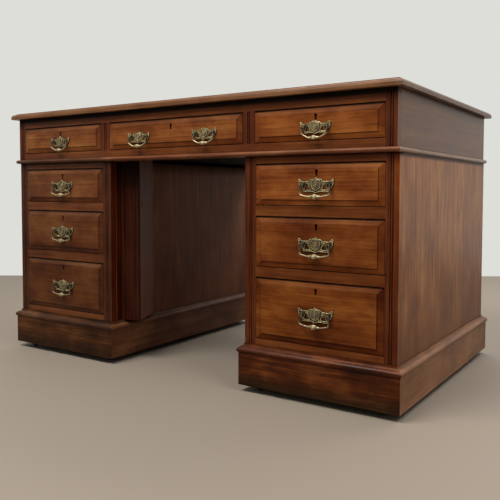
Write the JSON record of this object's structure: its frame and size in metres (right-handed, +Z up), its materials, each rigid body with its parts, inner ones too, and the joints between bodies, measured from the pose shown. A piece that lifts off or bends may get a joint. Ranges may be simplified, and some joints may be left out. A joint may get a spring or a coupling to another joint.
{
  "type": "pedestal desk",
  "caption": "Mahogany pedestal desk: moulded top over a frieze with drawers, two drawer pedestals with raised fronts, brass drop handles, plinths on hidden casters.",
  "frame": {"origin": "on the floor under the middle of the desk", "axes": "+X along the desk's length, +Z up, the drawers open towards -Y"},
  "size_m": [1.374, 0.82, 0.79],
  "materials": {
    "mahogany": "french polish, aged",
    "pine": "bare wood",
    "brass": "aged, dull",
    "caster_metal": "dark, worn"
  },
  "bodies": {
    "desk": {"top_board": "mahogany", "frieze_case": "mahogany", "frieze_frame": "mahogany", "frieze_runners": "pine", "waist_moulding": "mahogany", "left_sides": "mahogany", "left_frame": "mahogany", "left_inside": "pine", "left_plinth": "mahogany", "right_sides": "mahogany", "right_frame": "mahogany", "right_inside": "pine", "right_plinth": "mahogany", "pedestal_backs": "mahogany", "kneehole_pilaster": "mahogany", "caster_sockets": "caster_metal"},
    "drawer_left_upper": {"drawer_left_upper": "mahogany", "brass_left_upper": "brass"},
    "bail_left_upper": {"bail_left_upper": "brass"},
    "drawer_left_middle": {"drawer_left_middle": "mahogany", "brass_left_middle": "brass"},
    "bail_left_middle": {"bail_left_middle": "brass"},
    "drawer_left_lower": {"drawer_left_lower": "mahogany", "brass_left_lower": "brass"},
    "bail_left_lower": {"bail_left_lower": "brass"},
    "drawer_frieze_left": {"drawer_frieze_left": "mahogany", "brass_frieze_left": "brass"},
    "bail_frieze_left": {"bail_frieze_left": "brass"},
    "drawer_right_upper": {"drawer_right_upper": "mahogany", "brass_right_upper": "brass"},
    "bail_right_upper": {"bail_right_upper": "brass"},
    "drawer_right_middle": {"drawer_right_middle": "mahogany", "brass_right_middle": "brass"},
    "bail_right_middle": {"bail_right_middle": "brass"},
    "drawer_right_lower": {"drawer_right_lower": "mahogany", "brass_right_lower": "brass"},
    "bail_right_lower": {"bail_right_lower": "brass"},
    "drawer_frieze_right": {"drawer_frieze_right": "mahogany", "brass_frieze_right": "brass"},
    "bail_frieze_right": {"bail_frieze_right": "brass"},
    "drawer_frieze_middle": {"drawer_frieze_middle": "mahogany", "brass_frieze_middle": "brass"},
    "bail_frieze_middle_left": {"bail_frieze_middle_left": "brass"},
    "bail_frieze_middle_right": {"bail_frieze_middle_right": "brass"},
    "caster_left_front_inner_fork": {"caster_left_front_inner_fork": "caster_metal"},
    "caster_left_front_inner_wheel": {"caster_left_front_inner_wheel": "caster_metal"},
    "caster_left_front_outer_fork": {"caster_left_front_outer_fork": "caster_metal"},
    "caster_left_front_outer_wheel": {"caster_left_front_outer_wheel": "caster_metal"},
    "caster_left_rear_inner_fork": {"caster_left_rear_inner_fork": "caster_metal"},
    "caster_left_rear_inner_wheel": {"caster_left_rear_inner_wheel": "caster_metal"},
    "caster_left_rear_outer_fork": {"caster_left_rear_outer_fork": "caster_metal"},
    "caster_left_rear_outer_wheel": {"caster_left_rear_outer_wheel": "caster_metal"},
    "caster_right_front_inner_fork": {"caster_right_front_inner_fork": "caster_metal"},
    "caster_right_front_inner_wheel": {"caster_right_front_inner_wheel": "caster_metal"},
    "caster_right_front_outer_fork": {"caster_right_front_outer_fork": "caster_metal"},
    "caster_right_front_outer_wheel": {"caster_right_front_outer_wheel": "caster_metal"},
    "caster_right_rear_inner_fork": {"caster_right_rear_inner_fork": "caster_metal"},
    "caster_right_rear_inner_wheel": {"caster_right_rear_inner_wheel": "caster_metal"},
    "caster_right_rear_outer_fork": {"caster_right_rear_outer_fork": "caster_metal"},
    "caster_right_rear_outer_wheel": {"caster_right_rear_outer_wheel": "caster_metal"}
  },
  "joints": [
    {"name": "slide_left_upper", "type": "slide", "parent": "desk", "child": "drawer_left_upper", "axis": [0, -1, 0], "range_m": [0, 0.48]},
    {"name": "swing_left_upper", "type": "hinge", "parent": "drawer_left_upper", "child": "bail_left_upper", "pos_m": [-0.459, -0.3979, 0.55], "axis": [-1, 0, 0], "range_deg": [0, 160]},
    {"name": "slide_left_middle", "type": "slide", "parent": "desk", "child": "drawer_left_middle", "axis": [0, -1, 0], "range_m": [0, 0.48]},
    {"name": "swing_left_middle", "type": "hinge", "parent": "drawer_left_middle", "child": "bail_left_middle", "pos_m": [-0.459, -0.3979, 0.4025], "axis": [-1, 0, 0], "range_deg": [0, 160]},
    {"name": "slide_left_lower", "type": "slide", "parent": "desk", "child": "drawer_left_lower", "axis": [0, -1, 0], "range_m": [0, 0.48]},
    {"name": "swing_left_lower", "type": "hinge", "parent": "drawer_left_lower", "child": "bail_left_lower", "pos_m": [-0.459, -0.3979, 0.2275], "axis": [-1, 0, 0], "range_deg": [0, 160]},
    {"name": "slide_frieze_left", "type": "slide", "parent": "desk", "child": "drawer_frieze_left", "axis": [0, -1, 0], "range_m": [0, 0.48]},
    {"name": "swing_frieze_left", "type": "hinge", "parent": "drawer_frieze_left", "child": "bail_frieze_left", "pos_m": [-0.459, -0.40278, 0.6915], "axis": [-1, 0, 0], "range_deg": [0, 160]},
    {"name": "slide_right_upper", "type": "slide", "parent": "desk", "child": "drawer_right_upper", "axis": [0, -1, 0], "range_m": [0, 0.48]},
    {"name": "swing_right_upper", "type": "hinge", "parent": "drawer_right_upper", "child": "bail_right_upper", "pos_m": [0.459, -0.3979, 0.55], "axis": [-1, 0, 0], "range_deg": [0, 160]},
    {"name": "slide_right_middle", "type": "slide", "parent": "desk", "child": "drawer_right_middle", "axis": [0, -1, 0], "range_m": [0, 0.48]},
    {"name": "swing_right_middle", "type": "hinge", "parent": "drawer_right_middle", "child": "bail_right_middle", "pos_m": [0.459, -0.3979, 0.4025], "axis": [-1, 0, 0], "range_deg": [0, 160]},
    {"name": "slide_right_lower", "type": "slide", "parent": "desk", "child": "drawer_right_lower", "axis": [0, -1, 0], "range_m": [0, 0.48]},
    {"name": "swing_right_lower", "type": "hinge", "parent": "drawer_right_lower", "child": "bail_right_lower", "pos_m": [0.459, -0.3979, 0.2275], "axis": [-1, 0, 0], "range_deg": [0, 160]},
    {"name": "slide_frieze_right", "type": "slide", "parent": "desk", "child": "drawer_frieze_right", "axis": [0, -1, 0], "range_m": [0, 0.48]},
    {"name": "swing_frieze_right", "type": "hinge", "parent": "drawer_frieze_right", "child": "bail_frieze_right", "pos_m": [0.459, -0.40278, 0.6915], "axis": [-1, 0, 0], "range_deg": [0, 160]},
    {"name": "slide_frieze_middle", "type": "slide", "parent": "desk", "child": "drawer_frieze_middle", "axis": [0, -1, 0], "range_m": [0, 0.48]},
    {"name": "swing_frieze_middle_left", "type": "hinge", "parent": "drawer_frieze_middle", "child": "bail_frieze_middle_left", "pos_m": [-0.12, -0.40278, 0.6915], "axis": [-1, 0, 0], "range_deg": [0, 160]},
    {"name": "swing_frieze_middle_right", "type": "hinge", "parent": "drawer_frieze_middle", "child": "bail_frieze_middle_right", "pos_m": [0.12, -0.40278, 0.6915], "axis": [-1, 0, 0], "range_deg": [0, 160]},
    {"name": "caster_left_front_inner_swivel", "type": "hinge", "parent": "desk", "child": "caster_left_front_inner_fork", "pos_m": [-0.283, -0.35, 0.043], "axis": [0, 0, 1], "continuous": true},
    {"name": "caster_left_front_inner_roll", "type": "hinge", "parent": "caster_left_front_inner_fork", "child": "caster_left_front_inner_wheel", "pos_m": [-0.283, -0.36, 0.016], "axis": [1, 0, 0], "continuous": true},
    {"name": "caster_left_front_outer_swivel", "type": "hinge", "parent": "desk", "child": "caster_left_front_outer_fork", "pos_m": [-0.635, -0.35, 0.043], "axis": [0, 0, 1], "continuous": true},
    {"name": "caster_left_front_outer_roll", "type": "hinge", "parent": "caster_left_front_outer_fork", "child": "caster_left_front_outer_wheel", "pos_m": [-0.635, -0.36, 0.016], "axis": [1, 0, 0], "continuous": true},
    {"name": "caster_left_rear_inner_swivel", "type": "hinge", "parent": "desk", "child": "caster_left_rear_inner_fork", "pos_m": [-0.283, 0.344, 0.043], "axis": [0, 0, 1], "continuous": true},
    {"name": "caster_left_rear_inner_roll", "type": "hinge", "parent": "caster_left_rear_inner_fork", "child": "caster_left_rear_inner_wheel", "pos_m": [-0.283, 0.354, 0.016], "axis": [1, 0, 0], "continuous": true},
    {"name": "caster_left_rear_outer_swivel", "type": "hinge", "parent": "desk", "child": "caster_left_rear_outer_fork", "pos_m": [-0.635, 0.344, 0.043], "axis": [0, 0, 1], "continuous": true},
    {"name": "caster_left_rear_outer_roll", "type": "hinge", "parent": "caster_left_rear_outer_fork", "child": "caster_left_rear_outer_wheel", "pos_m": [-0.635, 0.354, 0.016], "axis": [1, 0, 0], "continuous": true},
    {"name": "caster_right_front_inner_swivel", "type": "hinge", "parent": "desk", "child": "caster_right_front_inner_fork", "pos_m": [0.283, -0.35, 0.043], "axis": [0, 0, 1], "continuous": true},
    {"name": "caster_right_front_inner_roll", "type": "hinge", "parent": "caster_right_front_inner_fork", "child": "caster_right_front_inner_wheel", "pos_m": [0.283, -0.36, 0.016], "axis": [1, 0, 0], "continuous": true},
    {"name": "caster_right_front_outer_swivel", "type": "hinge", "parent": "desk", "child": "caster_right_front_outer_fork", "pos_m": [0.635, -0.35, 0.043], "axis": [0, 0, 1], "continuous": true},
    {"name": "caster_right_front_outer_roll", "type": "hinge", "parent": "caster_right_front_outer_fork", "child": "caster_right_front_outer_wheel", "pos_m": [0.635, -0.36, 0.016], "axis": [1, 0, 0], "continuous": true},
    {"name": "caster_right_rear_inner_swivel", "type": "hinge", "parent": "desk", "child": "caster_right_rear_inner_fork", "pos_m": [0.283, 0.344, 0.043], "axis": [0, 0, 1], "continuous": true},
    {"name": "caster_right_rear_inner_roll", "type": "hinge", "parent": "caster_right_rear_inner_fork", "child": "caster_right_rear_inner_wheel", "pos_m": [0.283, 0.354, 0.016], "axis": [1, 0, 0], "continuous": true},
    {"name": "caster_right_rear_outer_swivel", "type": "hinge", "parent": "desk", "child": "caster_right_rear_outer_fork", "pos_m": [0.635, 0.344, 0.043], "axis": [0, 0, 1], "continuous": true},
    {"name": "caster_right_rear_outer_roll", "type": "hinge", "parent": "caster_right_rear_outer_fork", "child": "caster_right_rear_outer_wheel", "pos_m": [0.635, 0.354, 0.016], "axis": [1, 0, 0], "continuous": true}
  ]
}
